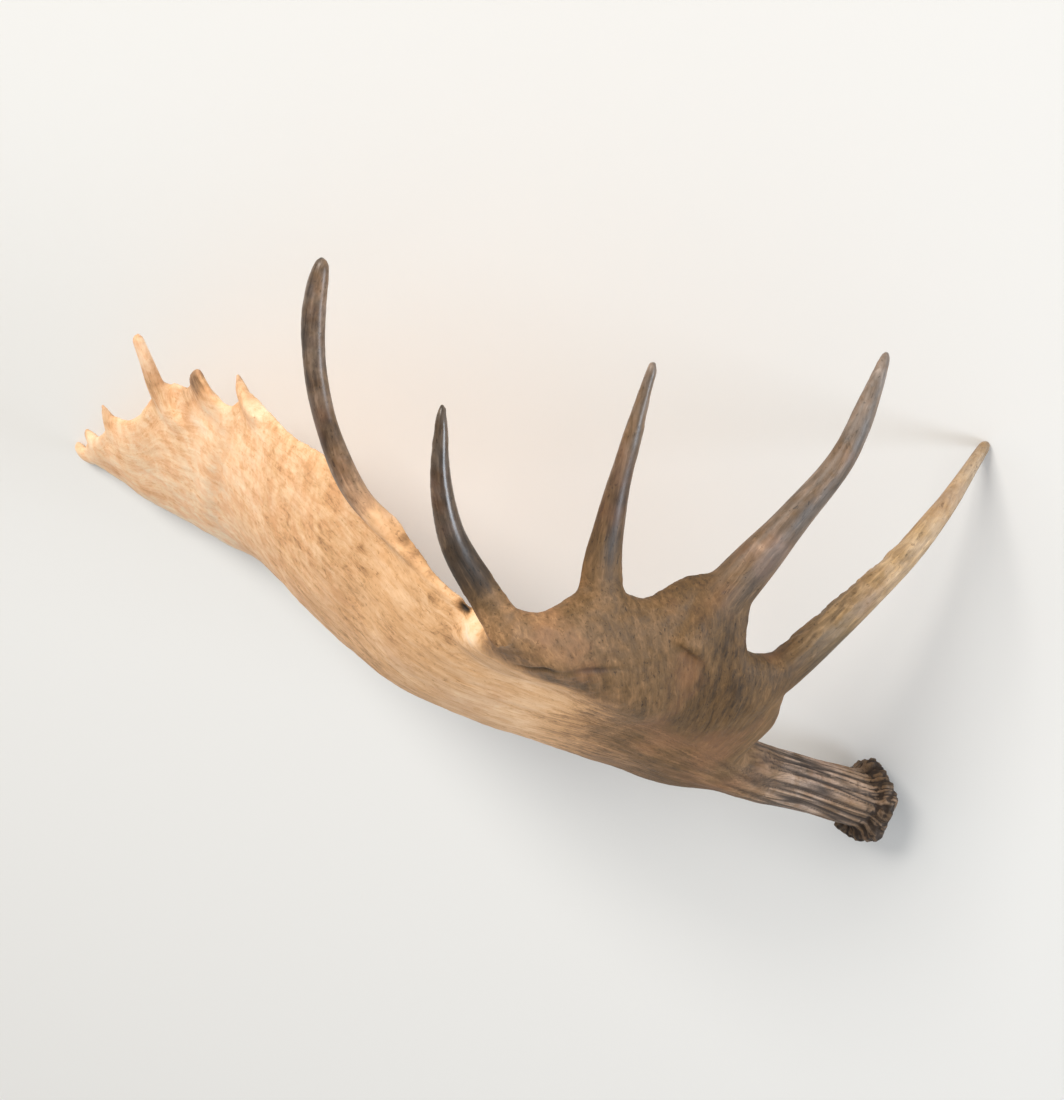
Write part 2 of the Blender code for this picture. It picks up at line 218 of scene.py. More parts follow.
# tines, then the rim's points: x, y, z and radius from root to tip, in millimetres
tines = {
    "browTine1": [
        (245, 128, 48, 18), (222, 144, 70, 19), (182, 168, 112, 16.5), (139, 188, 157, 13),
        (104, 200, 200, 10.2), (72, 203, 240, 7), (52, 202, 264, 5.5),
    ],
    "browTine2": [
        (318, 154, 78, 25), (296, 182, 120, 21.5), (270, 221, 168, 14.5), (250, 252, 209, 10.5),
        (243, 274, 249, 7.8), (237, 285, 278, 4.5),
    ],
    "browTine3": [
        (392, 156, 80, 21), (403, 171, 118, 16), (412, 198, 160, 10.7), (417, 225, 198, 7.5),
        (420, 246, 229, 5.2), (421, 255, 242, 4.5),
    ],
    "browTine4": [
        (468, 159, 66, 14.5), (491, 164, 90, 12.7), (526, 174, 127, 10), (543, 188, 158, 7.8),
        (554, 206, 189, 5.2), (557, 212, 200, 3.5),
    ],
    "palmTine": [
        (488, 60, 132, 5.5), (504, 44, 158, 9), (528, 34, 190, 12.5), (554, 40, 230, 10.4),
        (574, 56, 270, 9.6), (586, 77, 304, 9.4), (590, 92, 323, 7.5), (591, 97, 329, 5.8),
    ],
    "point1": [(522, -156, 284, 20), (528, -168, 310, 10), (530, -183, 336, 3.2)],
    "point2": [(527, -239, 314, 27), (537, -240, 334, 26.2), (543, -243, 347, 26.2)],
    "point3": [(534, -311, 320, 24), (552, -306, 350, 16.5), (571, -289, 370, 9.6), (585, -279, 387, 6.2)],
    "point4": [(545, -428, 334, 18), (556, -419, 351, 8.5), (566, -411, 363, 3.5)],
    "point5": [(543, -474, 336, 14), (549, -481, 350, 8), (554, -487, 359, 4.5)],
    "point6": [(540, -508, 338, 11), (546, -521, 349, 8), (549, -528, 357, 5)],
}
# how flat they are, no point being thicker than the palm, and how their tips are rounded
tineShape = {
    "rootFlatness": 0.62, "tipFlatness": 0.92, "pointHalf": 0.0056, "pointSunk": (-0.4, 0.5),
    "tipRounding": (24.0, 52.0, 76.0), "tipLongest": 0.0050,
    "steps": 90, "sides": 36, "chartSteps": 50, "chartRoom": 0.003,
}


def isPoint(name):
    return name.startswith("point")


def perTine(table):
    # a value for each tine, the points sharing one
    return np.array([table["point" if isPoint(name) else name] for name in tines])


longTines = sum(not isPoint(name) for name in tines)


def tineTable(name, count):
    track = through(metres(tines[name]), count)
    ahead = unit(np.gradient(track[:, :3], axis=0))
    wide = unit(np.cross(ahead, palms["browFace" if name.startswith("brow") else "mainFace"]))
    return {"middle": track[:, :3], "radius": track[:, 3], "ahead": ahead, "wide": wide,
            "thick": np.cross(wide, ahead), "reach": reachOf(track[:, :3])}


def tineRings(name):
    # a flattened, tapering tube whose last rings close in along a quarter of an ellipse
    table = tineTable(name, tineShape["steps"])
    turn = np.radians(tineShape["tipRounding"])[:, None]
    last = [-1] * len(turn)
    radius = table["radius"][:, None]
    end = table["ahead"][-1] * min(radius[-1, 0], tineShape["tipLongest"])
    middle = np.vstack((table["middle"], table["middle"][-1] + end * np.sin(turn)))
    radius = np.vstack((radius, radius[-1] * np.cos(turn)))
    flatness = np.linspace(tineShape["rootFlatness"], tineShape["tipFlatness"], len(middle))[:, None]
    if isPoint(name):
        sunk = ease(*tineShape["pointSunk"], np.linspace(0.0, 1.0, len(middle)))[:, None]
        flatness = np.minimum(flatness, tineShape["pointHalf"] * sunk / np.maximum(radius, 1e-4))
    wide = np.vstack((table["wide"], table["wide"][last])) * radius
    thick = np.vstack((table["thick"], table["thick"][last])) * radius * flatness
    return tubeRings(middle, wide, thick, tineShape["sides"])


# burr: a collar of knobs in two rows, every third one larger, and the domed scar
burr = {
    "radius": 0.0290, "knobs": 15, "knobRadii": (0.0092, 0.0074, 0.0074), "knobRows": (0.003, 0.005),
    "scarRadius": 0.0235, "scarDome": 0.0080, "steps": 24, "sides": 36, "poleGap": 0.02,
}


def ballRings(place, radius, squash=1.0):
    # a sphere as rings from pole to pole, squashed along X
    turn = np.linspace(burr["poleGap"], math.pi - burr["poleGap"], burr["steps"])[:, None, None]
    angle = around(burr["sides"])[None, :, None]
    along = np.concatenate([-np.cos(turn) * squash + 0 * angle, np.sin(turn) * np.cos(angle),
                            np.sin(turn) * np.sin(angle)], axis=-1)
    return np.array(place) + radius * along


def burrRings():
    foot = metres(beam["rows"][0][:3])
    shapes = [ballRings(foot, burr["scarRadius"], burr["scarDome"] / burr["scarRadius"])]
    for i in range(burr["knobs"]):
        angle = 2.0 * math.pi * i / burr["knobs"]
        place = (burr["knobRows"][i % 2], burr["radius"] * math.cos(angle), burr["radius"] * math.sin(angle))
        shapes.append(ballRings(place, burr["knobRadii"][i % 3]))
    return shapes


# skin: size of its faces, rounds of smoothing, where there are more, and the turn in degrees and the
# shift from how it grew to how it lies
skin = {
    "voxel": 0.00245, "smoothing": 16, "softRounds": 100, "evenRounds": 16, "tineRounds": 60,
    "gleamRounds": 16,
    "softNear": (0.020, 0.055), "softSpan": ((0.160, 0.205), (0.385, 0.430)),
    "cornerSpot": (0.455, 0.115, 0.064), "cornerNear": (0.022, 0.050), "cornerShare": 0.80,
    "tineGap": (0.001, 0.004), "tineFrom": (0.010, 0.040),
    "soften": [0.85], "even": [0.50, -0.53], "gleam": [0.9],  # steps towards the neighbours' mean
    "lieTurn": (142.357, -46.205, -13.762), "lieShift": (-0.409153, 0.199328, 0.025037),
    "boxRoom": 0.003,              # how near the solids' box a point is pressed back
    "skirt": 0.004,                # how far a piece's rim goes down
}
lieMatrix = np.array(Euler([math.radians(angle) for angle in skin["lieTurn"]]).to_matrix())


def added(name, data):
    made = bpy.data.objects.new(name, data)
    bpy.context.scene.collection.objects.link(made)
    return made


def grownTogether():
    # one skin of small square faces over all shapes, smoothed at the forks
    shapes = [beamRings()] + [palmRings(palms[name]) for name in ("main", "brow", "web")]
    shapes += [tineRings(name) for name in tines] + burrRings()
    faces = []
    count = 0
    for rings in shapes:
        faces += gridFaces(rings.shape[0], rings.shape[1], count)
        count += rings.shape[0] * rings.shape[1]
    mesh = bpy.data.meshes.new("grown")
    mesh.from_pydata(np.concatenate([rings.reshape(-1, 3) for rings in shapes]).tolist(), [], faces)
    grown = added("grown", mesh)
    remesh = grown.modifiers.new("skin", "REMESH")
    remesh.mode = "VOXEL"
    remesh.voxel_size = skin["voxel"]
    smooth = grown.modifiers.new("smooth", "SMOOTH")
    smooth.factor = 0.5
    smooth.iterations = skin["smoothing"]
    bpy.context.view_layer.update()
    made = grown.evaluated_get(bpy.context.evaluated_depsgraph_get()).to_mesh()
    spots = np.empty(len(made.vertices) * 3)
    made.vertices.foreach_get("co", spots)
    quads = np.empty(len(made.loops), dtype=np.int32)
    made.loops.foreach_get("vertex_index", quads)
    bpy.data.objects.remove(grown)
    return spots.reshape(-1, 3), quads.reshape(-1, 4)


def pointNormals(spots, quads):
    # the sum of the face normals round each point, weighted by area
    corners = spots[quads]
    normals = np.cross(corners[:, 2] - corners[:, 0], corners[:, 3] - corners[:, 1])
    total = np.zeros_like(spots)
    for axis in range(3):
        total[:, axis] = np.bincount(quads.ravel(), np.repeat(normals[:, axis], 4), len(spots))
    return unit(total)


# mixing: the slopes that a noise picks from, and large numbers that mix up its corners
mixing = {
    "slopes": [(1, 1, 0), (-1, 1, 0), (1, -1, 0), (-1, -1, 0), (1, 0, 1), (-1, 0, 1), (1, 0, -1),
               (-1, 0, -1), (0, 1, 1), (0, -1, 1), (0, 1, -1), (0, -1, -1), (1, 1, 1), (-1, -1, 1),
               (1, -1, -1), (-1, 1, -1)],
    "places": (73856093, 19349663, 83492791), "seeds": 2654435761, "bits": 1274126177, "height": 1.7,
}


def noise(places, size, seed):
    # gradient noise, about -1 to 1: each corner of a cubic grid picks a slope by a mixed-up number, and
    # the eight corners round a place are blended
    slopes = unit(np.array(mixing["slopes"], dtype=float))
    grid = places / size
    cell = np.floor(grid).astype(np.int64)
    part = grid - cell
    fade = part**3 * (part * (part * 6.0 - 15.0) + 10.0)
    total = np.zeros(len(places))
    for corner in np.ndindex(2, 2, 2):
        number = (cell + corner) @ np.array(mixing["places"]) + seed * mixing["seeds"]
        number = ((number ^ (number >> 13)) & 0xFFFFFFFF) * mixing["bits"]
        number = (number ^ (number >> 15)) >> 7 & 15
        blend = np.prod(np.where(corner, fade, 1.0 - fade), axis=1)
        total += blend * dot(slopes[number], part - corner)
    return total * mixing["height"]


def bladeChart(places, table):
    # by the palm's row whose arc passes nearest to each place: how far along and across it is, how far
    # over the arc on the bulging side, and how far outside the blade
    rear, across, face = table["rear"], table["across"], table["face"]
    width = dot(across, across)
    found = []
    for some in batches(places):
        ahead = some @ across.T - dot(rear, across)
        share = np.clip(ahead / width, 0.0, 1.0)
        bulge = table["cupping"] * (1.0 - (2.0 * share - 1.0) ** 2)
        lift = some @ face.T - dot(rear, face)
        far = squareGaps(some, rear)
        far -= 2.0 * share * ahead - share**2 * width
        far += bulge**2 - 2.0 * bulge * lift
        row = np.argmin(far, axis=1)
        pick = (np.arange(len(some)), row)
        past = some - rear[row] - share[pick][:, None] * across[row]
        found.append(np.stack((table["reach"][row] + dot(past, table["ahead"][row]),
                               dot(some - rear[row], across[row]) / width[row],
                               lift[pick] - bulge[pick], table["half"][row], np.sqrt(width[row]),
                               np.sqrt(np.maximum(far[pick], 0.0))), axis=1))
    along, share, lift, half, width, far = np.concatenate(found).T
    side = np.clip(2.0 * share - 1.0, -1.0, 1.0)
    wall = half * (1.0 - side**2) ** (palms["edgeFullness"] / 2)
    return {"along": along, "side": side, "lift": lift, "half": half, "width": width, "gap": far - wall}


def tineChart(places):
    # for each place, the number of the nearest tine, how far along and across it is, how far outside it
    # and how far from its tip
    steps = tineShape["chartSteps"]
    tables = [tineTable(name, steps) for name in tines]
    rows = {key: np.concatenate([table[key] for table in tables]) for key in tables[0]}
    length = np.repeat([table["reach"][-1] for table in tables], steps)
    row = np.concatenate([np.argmin(squareGaps(some, rows["middle"]) - rows["radius"] ** 2, axis=1)
                          for some in batches(places)])
    past = places - rows["middle"][row]
    ahead, wide, thick = (dot(past, rows[key][row]) for key in ("ahead", "wide", "thick"))
    radius = rows["radius"][row]
    beyond = np.maximum(np.abs(ahead) - tineShape["chartRoom"], 0.0)
    gap = np.sqrt(wide**2 + thick**2 + beyond**2) - radius
    along = rows["reach"][row] + ahead
    return {"along": along, "wide": wide, "thick": thick, "across": wide / radius, "gap": gap,
            "left": length[row] - along, "number": row // steps}


def mainTable():
    # the beam's round rows and the main palm's rows as one blade, from burr to palm tip
    track = np.array(beam["rows"][:beam["roundRows"]], dtype=float)
    ahead = unit(np.gradient(track[:, :3], axis=0))
    across = np.array(beam["across"]) - dot(ahead, np.array(beam["across"]))[:, None] * ahead
    rows = [(*(spot[:3] - way * spot[3]), *(spot[:3] + way * spot[3]), 2.0 * spot[3], 0.0)
            for spot, way in zip(track, unit(across))]
    return palmTable(rows + palms["main"], palms["chartSteps"]["main"])


mainBlade = mainTable()
browBlade = palmTable(palms["brow"], palms["chartSteps"]["brow"])
forkSpot = np.array(palms["fork"])
forkOut = unit(metres(palms["brow"][-1][:3]) - forkSpot)
forkFace = unit(np.array(palms["browFace"]) - dot(np.array(palms["browFace"]), forkOut) * forkOut)
forkUp = np.cross(forkOut, forkFace)

# growth: how fast a part's share fades off its skin, where the brow palm, tines and points set in, the
# radius of the arcs that the grain is unrolled on, and how far apart the tines are in it
growth = {
    "bladeFade": 0.008, "tineFade": 0.004, "browFrom": (0.150, 0.200),
    "tineFrom": (0.016, 0.060), "pointFrom": (0.010, 0.018), "mainArc": 0.11, "browArc": 0.21,
    "tineApart": 0.5,
}


def chartsOf(places):
    # where each place lies on the blades and tines, and its share in each: a power of e that fades with
    # its height over their skins
    main, brow, tine = bladeChart(places, mainBlade), bladeChart(places, browBlade), tineChart(places)
    nearMain, nearBrow = (np.exp(-np.maximum(blade["gap"], 0.0) / growth["bladeFade"])
                          for blade in (main, brow))
    onBrow = nearBrow / (nearMain + nearBrow + 1e-9) * ease(*growth["browFrom"], main["along"])
    onTine = np.exp(-np.maximum(tine["gap"], 0.0) / growth["tineFade"])
    isShort = (tine["number"] >= longTines)[:, None]
    start, span = np.where(isShort, growth["pointFrom"], growth["tineFrom"]).T
    onTine *= ease(0.0, span, tine["along"] - start)
    fromFork = places - forkSpot
    turn = np.arctan2(dot(fromFork, forkUp), dot(fromFork, forkOut))
    browFlow = (np.linalg.norm(fromFork, axis=1), turn * growth["browArc"], dot(fromFork, forkFace))
    tineFlow = (tine["along"] + growth["tineApart"] * tine["number"], tine["wide"], tine["thick"])
    return {
        "main": main, "brow": brow, "tine": tine, "onBrow": onBrow, "onTine": onTine,
        "onPalm": 1.0 - onTine, "onMain": (1.0 - onBrow) * (1.0 - onTine),
        "mainFlow": np.stack((main["along"], main["side"] * growth["mainArc"], main["lift"]), axis=1),
        "browFlow": np.stack(browFlow, axis=1), "tineFlow": np.stack(tineFlow, axis=1),
    }


# relief: how high, how wide and, where drawn out, how long each kind is
relief = {
    "furrow": (0.0046, 0.0078, 0.17), "fibre": (0.0007, 0.0042, 0.050), "vein": (0.0009, 0.010, 0.075),
    "groove": (0.00038, 0.0070, 0.070), "swell": (0.0006, 0.020, 0.048), "wart": (0.0013, 0.0058, 0.01276),
    "lump": (0.0013, 0.055), "dent": (0.00035, 0.007), "pearl": (0.0016, 0.0050),
    "lip": (0.0009, 0.0030), "fold": (0.0022, 0.0030), "wave": (0.0022, 0.020), "bend": (0.014, 0.050),
    # how far along the main palm each kind sets in, and ends
    "veinFrom": (0.20, 0.30), "lumpFrom": (0.10, 0.25), "dentFrom": (0.20, 0.35),
    "lipSpan": ((0.34, 0.42), (0.62, 0.70)),
    "hollowSpan": (0.001, -0.004), "fibreShares": (0.5, 0.35), "veinWide": 0.22, "veinFloor": -0.35,
    "lipOver": (-0.002, 0.004), "lipPlaces": (1.0, 3.2), "lipWaver": (0.6, 0.026), "lumpLeast": 0.25,
    "waveWays": (0.0, 1.0, 0.4), "fibreWider": 1.8,
    # the second, finer layer of a kind: its size against the first's, and its share or how much lower
    "veinFiner": (0.6, 0.06), "lumpFiner": (0.45, 0.5), "wartFiner": (0.5, 0.5), "pearlFiner": (0.5, 0.4),
    # the fold's path in millimetres, from the foot of the last brow tine inwards, and its two ends
    "foldPath": [(447, 119, 57), (434, 148, 51), (389, 153, 54), (350, 153, 60)],
    "foldSpan": ((0.0, 0.15), (0.45, 1.0)),
    # warts: their side of the tine, their ends, edges and mean height; darks: a share and its edges
    "wartSide": (-0.3, 0.6), "wartEnd": (0.22, 0.15), "wartEdge": (-0.10, 0.55), "wartMean": 0.3,
    "wartDark": (0.3, (-0.10, -0.50)), "grooveDark": (0.20, (-0.15, -0.55)), "pearlDark": (0.0, -0.7),
    "tipSmooth": (0.0, 0.07), "burrSpan": (0.030, 0.012),
}


def pathDistance(places, path):
    # how far each place is from a broken line, and its share of the way along it
    reach, step = reachOf(path), np.diff(path, axis=0)
    past = places[:, None] - path[:-1]
    along = np.clip(dot(past, step) / dot(step, step), 0.0, 1.0)
    far = np.linalg.norm(past - along[..., None] * step, axis=2)
    nearest = np.arange(len(places)), np.argmin(far, axis=1)
    return far[nearest], (reach[:-1] + along * np.diff(reach))[nearest] / reach[-1]


def drawnNoise(flow, kind, seed, finer=1.0):
    # a noise as wide as this relief, drawn out to its length along the flow's first way
    wide, long = relief[kind][1:]
    return noise(flow * (wide / long, 1.0, 1.0), wide * finer, seed)


# furrows: the radius and twist that they are drawn on, where they fade and how much stays, the height
# that cuts off their crests, and of the coarse ones and the finer the mean height and the dark's width
furrows = {
    "radius": 0.0255, "twist": 2.4, "end": (0.10, 0.30), "kept": 0.05, "crest": 0.45, "mean": (0.27, 0.22),
    "dark": (0.28, 0.34), "finer": 0.75, "finerHeight": 0.4, "finerDark": 0.8,
}


def beamRelief(charts):
    # furrows: sharp lines where a drawn out noise goes through nothing
    main = charts["main"]
    turn = np.arctan2(main["lift"] / main["half"], main["side"]) + furrows["twist"] * main["along"]
    ring = furrows["radius"] * np.stack((np.cos(turn), np.sin(turn)), axis=1)
    ring = np.column_stack((main["along"], ring))
    coarse = np.abs(drawnNoise(ring, "furrow", 1))
    fine = np.abs(drawnNoise(ring, "furrow", 2, furrows["finer"]))
    fade = 1.0 - ease(*furrows["end"], main["along"])
    furrowed = (furrows["kept"] + (1.0 - furrows["kept"]) * fade) * charts["onMain"]
    (mean, fineMean), (wide, fineWide) = furrows["mean"], furrows["dark"]
    depth = np.minimum(coarse, furrows["crest"]) - mean
    depth = depth + furrows["finerHeight"] * (np.minimum(fine, furrows["crest"]) - fineMean)
    dark = np.maximum(1.0 - coarse / wide, furrows["finerDark"] * (1.0 - fine / fineWide)).clip(0.0, 1.0)
    return relief["furrow"][0] * furrowed * depth, furrowed * dark


def palmRelief(places, charts):
    main, onBrow, onMain, onPalm = (charts[key] for key in ("main", "onBrow", "onMain", "onPalm"))
    # fibres: a fine wavy grain over the brow palm, and less of it on the main one
    waveHigh, waveWide = relief["wave"]
    wavy = waveHigh * noise(places, waveWide, 3)[:, None] * relief["waveWays"]
    fanned = drawnNoise(charts["browFlow"] + wavy, "fibre", 14)
    lengthwise = drawnNoise(charts["mainFlow"] + wavy, "fibre", 15, relief["fibreWider"])
    browShare, mainShare = relief["fibreShares"]
    high = browShare * onBrow * fanned + mainShare * (1.0 - onBrow) * lengthwise
    high = relief["fibre"][0] * onPalm * high
    # veins on the hollow side of the palm: raised lines that wander, split and join
    hollow = ease(*relief["hollowSpan"], main["lift"]) * onMain * ease(*relief["veinFrom"], main["along"])
    bendHigh, bendWide = relief["bend"]
    bent = charts["mainFlow"] * (1.0, 1.0, 0.0)
    bent[:, 1] += bendHigh * noise(places, bendWide, 4)
    finer, lower = relief["veinFiner"]
    veins = np.abs(drawnNoise(bent, "vein", 5)), np.abs(drawnNoise(bent, "vein", 6, finer)) + lower
    veins = 1.0 - np.minimum(*veins) / relief["veinWide"]
    high += relief["vein"][0] * hollow * veins.clip(relief["veinFloor"], 1.0)
    # low lumps and small dents
    lumpHigh, lumpWide = relief["lump"]
    finer, share = relief["lumpFiner"]
    lumps = noise(places, lumpWide, 7) + share * noise(places, lumpWide * finer, 8)
    lumps *= lumpHigh * (relief["lumpLeast"] + (1.0 - relief["lumpLeast"]) * onPalm)
    high += lumps * ease(*relief["lumpFrom"], main["along"])
    dentHigh, dentWide = relief["dent"]
    high += dentHigh * onPalm * noise(places, dentWide, 16) * ease(*relief["dentFrom"], main["along"])
    # a rolled and bumpy lip, with a groove behind it, on the front edge of the main palm
    lipHigh, lipWide = relief["lip"]
    edge = (1.0 - main["side"]) * main["width"] / 2 / lipWide
    lipped = onMain * between(*relief["lipSpan"], main["along"])
    waverHigh, waverWide = relief["lipWaver"]
    lipped *= ease(*relief["lipOver"], main["lift"]) * (1.0 + waverHigh * noise(places, waverWide, 17))
    crest, valley = (np.exp(-(edge - place) ** 2) for place in relief["lipPlaces"])
    high += lipHigh * lipped * (crest - 0.5 * valley)
    # fold where the brow palm lies over the main one: a groove that fades at both ends
    foldDeep, foldWide = relief["fold"]
    away, share = pathDistance(places, metres(relief["foldPath"]))
    fold = np.exp(-(away / foldWide) ** 2) * between(*relief["foldSpan"], share)
    # both shares also go to the material as painted shade: the hollows between the veins and the fold's
    # groove are darkened
    return high - foldDeep * fold, {"fold": fold, "vein": hollow * veins.clip(0.0, 1.0)}


def tineRelief(charts):
    tine, onTine, flow = charts["tine"], charts["onTine"], charts["tineFlow"]
    # warts along the upper edge of the first brow tine
    finer, share = relief["wartFiner"]
    warts = drawnNoise(flow, "wart", 9) + share * drawnNoise(flow, "wart", 18, finer)
    upper = onTine * (tine["number"] == 0) * ease(*relief["wartSide"], -tine["across"])
    upper = upper * ease(*relief["wartEnd"], tine["along"])
    high = relief["wart"][0] * upper * (ease(*relief["wartEdge"], warts) - relief["wartMean"])
    # long low grooves and swellings on all tines
    grooves = drawnNoise(flow, "groove", 10)
    taper = onTine * ease(*relief["tipSmooth"], tine["left"])
    high += taper * (relief["groove"][0] * grooves + relief["swell"][0] * drawnNoise(flow, "swell", 11))
    (wartDark, wartEdges), (grooveDark, grooveEdges) = relief["wartDark"], relief["grooveDark"]
    return high, upper * wartDark * ease(*wartEdges, warts) + taper * grooveDark * ease(*grooveEdges, grooves)


def burrRelief(places):
    # pearls on the burr and the rough scar
    high, wide = relief["pearl"]
    near = ease(*relief["burrSpan"], places[:, 0])
    finer, share = relief["pearlFiner"]
    pearls = noise(places, wide, 12) + share * noise(places, wide * finer, 13)
    return high * near * pearls, near * ease(*relief["pearlDark"], pearls)


def reliefOf(places, charts):
    # how far each place stands out, and the shares of furrow, fold and vein there
    palmHigh, shares = palmRelief(places, charts)
    parts = (beamRelief(charts), tineRelief(charts), burrRelief(places))
    shares["furrow"] = sum(furrow for _, furrow in parts).clip(0.0, 1.0)
    return palmHigh + sum(high for high, _ in parts), shares


# tones, 0 nearly black to 1 pale cream: along beam and palm with how grey it is there, and for each
# tine at its root, middle and tip, first the tones and then how grey
tones = {
    "alongMain": [
        (0.00, 0.34, 0.3), (0.03, 0.45, 0.3), (0.12, 0.57, 0.5), (0.18, 0.46, 0.1), (0.24, 0.45, 0.0),
        (0.30, 0.56, 0.0), (0.36, 0.91, 0.0), (0.42, 0.94, 0.0), (0.50, 0.85, 0.0), (0.62, 0.90, 0.0),
        (0.74, 1.03, 0.0), (0.80, 1.06, 0.0),
    ],
    "alongBrow": [(0.00, 0.44), (0.05, 0.34), (0.11, 0.25), (0.18, 0.36), (0.25, 0.42), (0.31, 0.51)],
    "browTine1": ((0.13, 0.58, 0.53), (0.05, 0.25, 0.45)),
    "browTine2": ((0.35, 0.40, 0.50), (0.00, 0.42, 0.62)),
    "browTine3": ((0.40, 0.28, 0.50), (0.00, 0.15, 0.50)),
    "browTine4": ((0.18, 0.27, 0.38), (0.00, 0.36, 0.50)),
    "palmTine": ((0.96, 0.30, 0.42), (0.00, 0.30, 0.55)),
    "point": ((0.92, 0.84, 0.76), (0.00, 0.05, 0.15)),
    "polish": {"browTine1": 0.30, "browTine2": 0.45, "browTine3": 0.80, "browTine4": 1.0,
               "palmTine": 0.75, "point": 0.40},
    "crust": 0.08,                 # how much paler the first brow tine's upper edge is
    "band": (0.11, 0.12),          # how much darker and greyer a band along each tine is
    "bandSpan": (-0.1, 0.45),      # the band's middle and width, across the tine
    # painted light and shade: the brow palm is darkened towards its front edge and lightened towards its rear
    # one
    "browSidePaintedLight": -0.03, "rearPaintedLight": 0.08,
    # painted light: the main palm's rear edge, which curves away from the light, is lightened over these
    # spans
    "rearLightSpan": (-0.45, -0.95), "rearLightFrom": (0.28, 0.40), "polishFrom": (0.03, 0.10),
    "goldenFrom": (0.02, 0.10), "rimFrom": (0.46, 0.62),
    "wobble": (0.45, 0.006),       # unevenness of the marks' outlines
}

# marks: x, y, z, radius and how far the bone stands out in millimetres, and how much paler it is
marks = {
    # the corner pit's near-black tone is painted shade, for the shadowed gap where the last brow tine's edge
    # crosses the main palm's front edge
    "cornerPitShade": (470, 97, 98, 5.2, -5.0, -1.30), "cornerLump": (466, 95, 83, 8.5, 1.4, 0.24),
    "cornerLow": (467, 104, 74, 9.0, 0.4, 0.16), "tineFoot": (500, 170, 100, 17.0, 0.0, -0.10),
    "lipBright": (504, 43, 165, 8.0, 0.0, 0.20), "lipBrown": (495, 55, 152, 5.0, -1.2, -0.36),
    "lipGrey": (489, 64, 140, 8.0, 0.6, -0.20), "lipLow": (479, 68, 110, 6.0, 0.0, -0.20),
    "knobStain": (549, -230, 341, 15.0, 0.0, -0.28), "knobHook": (545, -251, 352, 8.0, 0.0, -0.16),
    # the finger's paler patch is painted light, lifting the side of the finger that faces away from the key
    # light
    "fingerStain": (559, -299, 356, 8.0, 0.0, -0.20), "fingerPaintedLight": (576, -286, 377, 16.0, 0.0, 0.28),
    "rimSpot": (550, -346, 334, 4.5, -0.6, -0.28), "palmSpot": (527, -176, 291, 4.0, -0.4, -0.26),
    # the pocket marks' darker tone is painted shade in the hollow under the brow palm's overhanging rear edge
    "veinSpot": (524, -234, 289, 14.0, 0.0, -0.10), "pocketShade": (414, 122, 47, 14.0, -1.0, -0.16),
    "pocketShadeEnd": (392, 130, 45, 13.0, -0.6, -0.14), "scar": (295, 212, 144, 3.6, 0.4, 0.18),
    "notchRim": (448, 166, 88, 12.0, 0.0, 0.13),
}


def toneOf(places, charts):
    # tone and greyness before the grain, and how far the marks stand out
    main, brow, tine = charts["main"], charts["brow"], charts["tine"]
    onBrow, onTine, number = charts["onBrow"], charts["onTine"], tine["number"]
    stops = np.array(tones["alongMain"]).T
    tone, grey = (np.interp(main["along"], stops[0], column) for column in stops[1:])
    tone += onBrow * (np.interp(brow["along"], *np.array(tones["alongBrow"]).T) - tone)
    grey *= 1.0 - onBrow
    # each tine goes from its root's tone to its middle's and on to its tip's
    length = np.maximum(tine["along"] + tine["left"], 1e-6)
    share = np.clip(2.0 * tine["along"] / length, 0.0, 2.0)
    root, tip = np.maximum(1.0 - share, 0.0), np.maximum(share - 1.0, 0.0)
    own = (perTine(tones)[number] * np.stack((root, 1.0 - root - tip, tip), axis=1)[:, None]).sum(axis=-1)
    tone += onTine * (own[:, 0] - tone)
    grey += onTine * (own[:, 1] - grey)
    tone -= tones["crust"] * np.clip(tine["across"], -1.0, 1.0) * onTine * (number == 0)
    middle, width = tones["bandSpan"]
    band = np.exp(-((tine["across"] - middle) / width) ** 2) * onTine * (number < longTines) * (number > 0)
    tone -= tones["band"][0] * band
    grey += tones["band"][1] * band
    # painted light and shade across the brow palm: darker towards its front edge, paler towards its rear one
    tone += onBrow * tones["browSidePaintedLight"] * brow["side"]
    # painted light on the main palm's rear edge, which curves away from the light
    rear = ease(*tones["rearLightSpan"], main["side"]) * ease(*tones["rearLightFrom"], main["along"])
    tone += tones["rearPaintedLight"] * rear * (1.0 - onBrow)
    out = np.zeros(len(places))
    wobbleShare, wobbleWide = tones["wobble"]
    wobble = 1.0 + wobbleShare * noise(places, wobbleWide, 19)
    for *sizes, paler in marks.values():
        *place, radius, high = metres(sizes)
        near = np.exp(-dot(places - place, places - place) / (radius * wobble) ** 2)
        tone += paler * near
        out += high * near
    return tone, grey, out


def faceSides(quads):
    # the two ends of each side of each face
    return np.stack((quads, np.roll(quads, -1, axis=1)), axis=-1).reshape(-1, 2)


def neighbourPairs(quads):
    # each edge once, as its two points
    return np.unique(np.sort(faceSides(quads), axis=1), axis=0)


def relaxed(spots, pairs, share, rounds, steps):
    # at each step a point goes towards its neighbours' mean, or away from it, by its share
    used, near = np.unique(pairs[(share[pairs] > 0.0).any(axis=1)], return_inverse=True)
    near = near.reshape(-1, 2)
    moved, share = spots[used], share[used, None]
    count = np.bincount(near.ravel(), minlength=len(used))[:, None]
    ends, others = near.ravel(), near[:, ::-1].ravel()
    for step in steps * rounds:
        total = np.stack([np.bincount(ends, moved[others, axis], len(used)) for axis in range(3)], axis=1)
        moved = moved + step * share * (total / count - moved)
    spots = spots.copy()
    spots[used] = moved
    return spots


